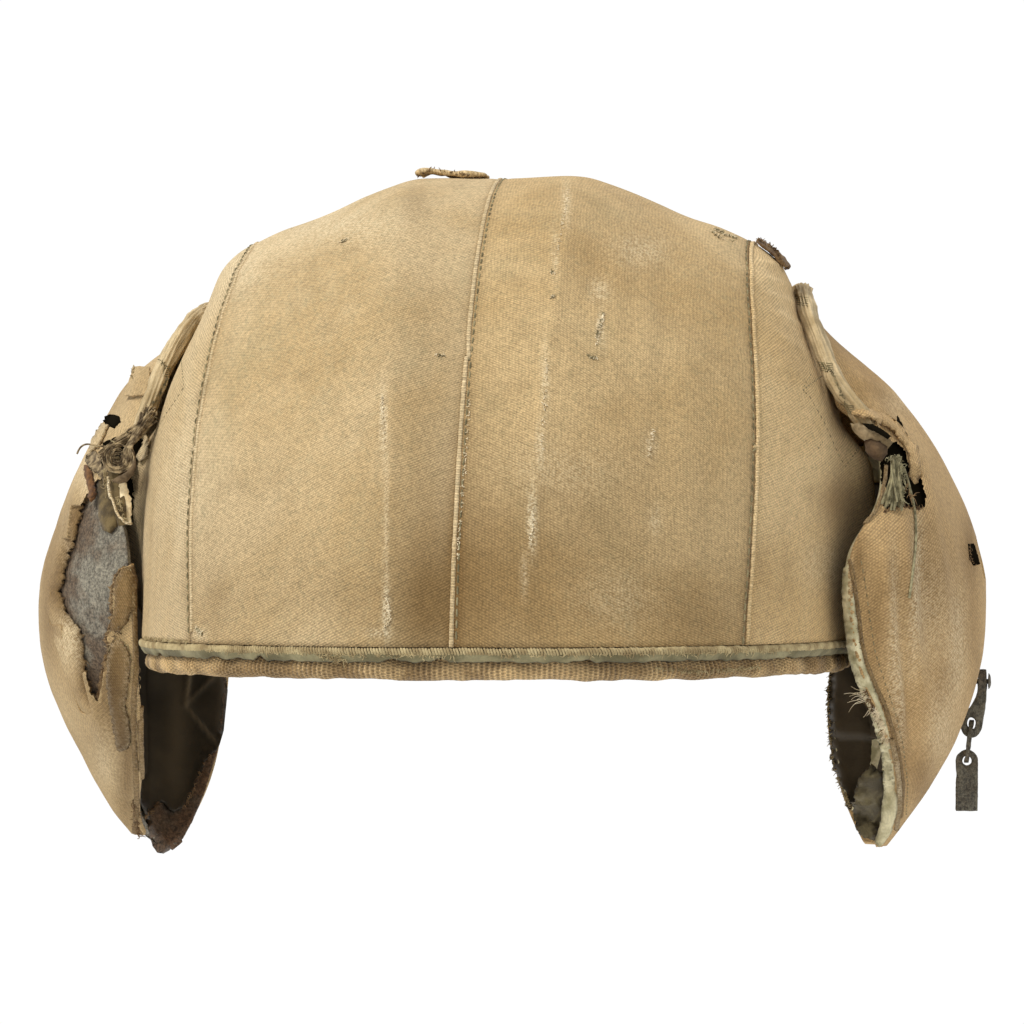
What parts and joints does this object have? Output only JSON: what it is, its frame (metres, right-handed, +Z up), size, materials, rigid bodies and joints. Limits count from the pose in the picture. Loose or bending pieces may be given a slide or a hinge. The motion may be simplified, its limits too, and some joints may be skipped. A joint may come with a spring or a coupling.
{
  "type": "flak helmet",
  "caption": "Cloth-covered flak helmet with a panelled skull cap, padded arch rolls, two armoured ear flaps, a ribbed sweat band and a hanging strap hook.",
  "frame": {"origin": "middle of the rim's plane, where the helmet sits round a head", "axes": "+Z up, -Y out of the face opening, +X towards the wearer's left"},
  "size_m": [0.2921, 0.2556, 0.2088],
  "materials": {
    "panel_twill": "worn tan herringbone twill",
    "flap_twill": "worn tan twill with soft folds",
    "roll_cloth": "tan cloth round a cord",
    "rim_cord": "pale overcast cord",
    "brown_knit": "ribbed brown knit",
    "felt_pad": "grey-green felt",
    "dark_lining": "very dark worn lining",
    "folded_lining": "green-tan lining folded over",
    "rusty_cloth": "frayed cloth stained by rust",
    "frayed_cord": "bundles of frayed cords and webbing",
    "bare_plate": "bare steel, pitted and rusty",
    "strap_steel": "dull dark brown coating, worn"
  },
  "bodies": {
    "root": {"top_panel_left": "panel_twill", "top_panel_right": "panel_twill", "side_panel_left": "panel_twill", "side_panel_right": "panel_twill", "crown_tab": "panel_twill", "flap_cover_left": "flap_twill", "flap_cover_right": "flap_twill", "flap_patch_right": "flap_twill", "hinge_tab_right": "flap_twill", "arch_roll_left": "roll_cloth", "arch_roll_right": "roll_cloth", "rim_binding": "rim_cord", "sweat_band": "brown_knit", "flap_pad_left": "felt_pad", "flap_lining_left": "dark_lining", "flap_lining_right": "dark_lining", "lining_fold_left": "folded_lining", "seam_lip_left": "rusty_cloth", "hinge_cords_left": "frayed_cord", "hinge_cords_right": "frayed_cord", "hinge_strip_right": "frayed_cord", "flap_plate_right": "bare_plate", "strap_rivet": "strap_steel", "strap_bar": "strap_steel", "strap_link": "strap_steel", "strap_hook": "strap_steel"}
  },
  "joints": []
}
